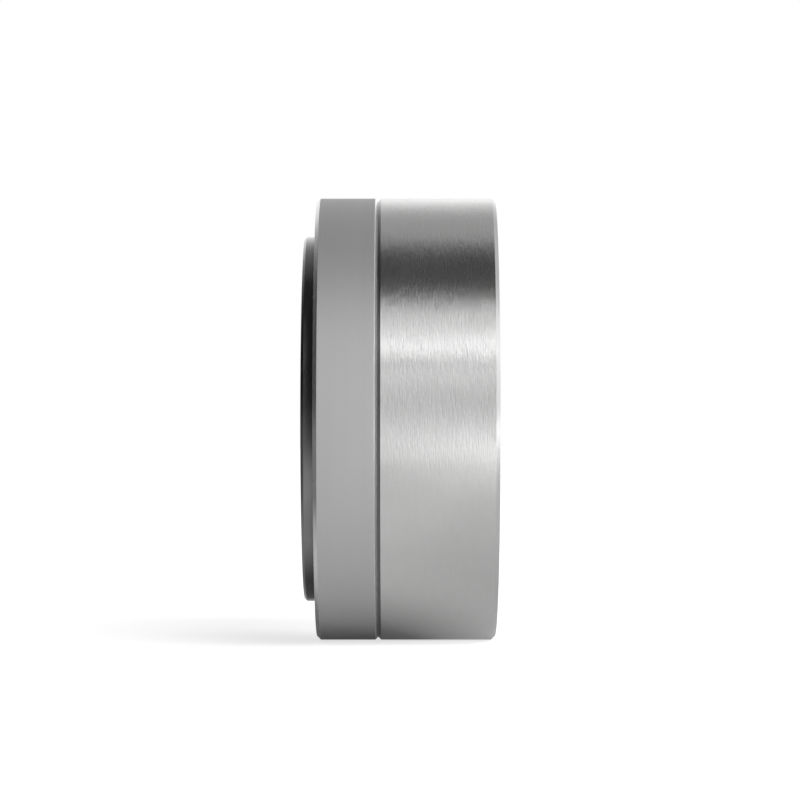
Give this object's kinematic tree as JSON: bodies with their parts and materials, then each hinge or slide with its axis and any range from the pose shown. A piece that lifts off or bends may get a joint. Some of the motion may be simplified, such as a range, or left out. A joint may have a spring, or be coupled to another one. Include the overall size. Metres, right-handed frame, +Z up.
{
  "type": "strain wave gear",
  "caption": "Short round strain wave gear unit: cup flexspline, oval wave generator, toothed housing ring and a crossed roller output bearing.",
  "frame": {"origin": "centre of the input face, where the housing bolts to its mounting", "axes": "+X along the gear's axis, out of the input face towards the motor; the output face looks along -X; +Z is up"},
  "size_m": [0.046, 0.107, 0.107],
  "materials": {
    "brushed_ring_steel": "brushed round the ring, satin",
    "satin_ring_steel": "fine ground, matt satin",
    "dark_turned_steel": "turned and darkened",
    "flexspline_steel": "fine turned, satin",
    "plug_steel": "turned, light oil",
    "coupling_steel": "phosphated",
    "bright_steel": "bright drawn",
    "polished_steel": "polished bearing steel",
    "black_oxide": "black oxide",
    "rubber": "moulded rubber",
    "nylon": "moulded polyamide"
  },
  "bodies": {
    "housing": {"circular_spline": "brushed_ring_steel", "bearing_outer_ring": "satin_ring_steel", "assembly_screws": "black_oxide", "joint_o_ring": "rubber", "input_o_ring": "rubber", "roller_fill_plug": "satin_ring_steel", "plug_taper_pin": "bright_steel", "output_seal_case": "bright_steel", "output_seal_lip": "rubber"},
    "output": {"output_flange": "dark_turned_steel", "flexspline": "flexspline_steel", "flexspline_clamp_ring": "dark_turned_steel", "flexspline_screws": "black_oxide"},
    "roller_set": {"bearing_rollers": "polished_steel", "roller_spacers": "nylon"},
    "wave_generator": {"wave_generator_plug": "plug_steel", "flex_bearing_inner_race": "polished_steel", "flex_bearing_balls": "polished_steel", "ball_separator": "nylon", "flex_bearing_outer_race": "polished_steel"},
    "insert": {"coupling_insert": "coupling_steel"},
    "hub": {"coupling_hub": "plug_steel", "rub_washer": "bright_steel", "snap_ring": "black_oxide", "hub_set_screws": "black_oxide"}
  },
  "joints": [
    {"name": "input_spin", "type": "hinge", "parent": "output", "child": "wave_generator", "pos_m": [-0.0115, 0, 0], "axis": [1, 0, 0], "continuous": true, "deforming": ["flexspline"]},
    {"name": "output_spin", "type": "hinge", "parent": "housing", "child": "output", "pos_m": [-0.0345, 0, 0], "axis": [1, 0, 0], "continuous": true},
    {"name": "roller_orbit", "type": "hinge", "parent": "housing", "child": "roller_set", "pos_m": [-0.0345, 0, 0], "axis": [1, 0, 0], "continuous": true},
    {"name": "insert_slide", "type": "slide", "parent": "wave_generator", "child": "insert", "axis": [0, 0, 1], "range_m": [-0.00015, 0.00015]},
    {"name": "hub_slide", "type": "slide", "parent": "insert", "child": "hub", "axis": [0, 1, 0], "range_m": [-0.00015, 0.00015]}
  ],
  "couplings": [
    {"joint": "output_spin", "follows": "input_spin", "ratio": -0.019608},
    {"joint": "roller_orbit", "follows": "input_spin", "ratio": -0.0093912}
  ]
}
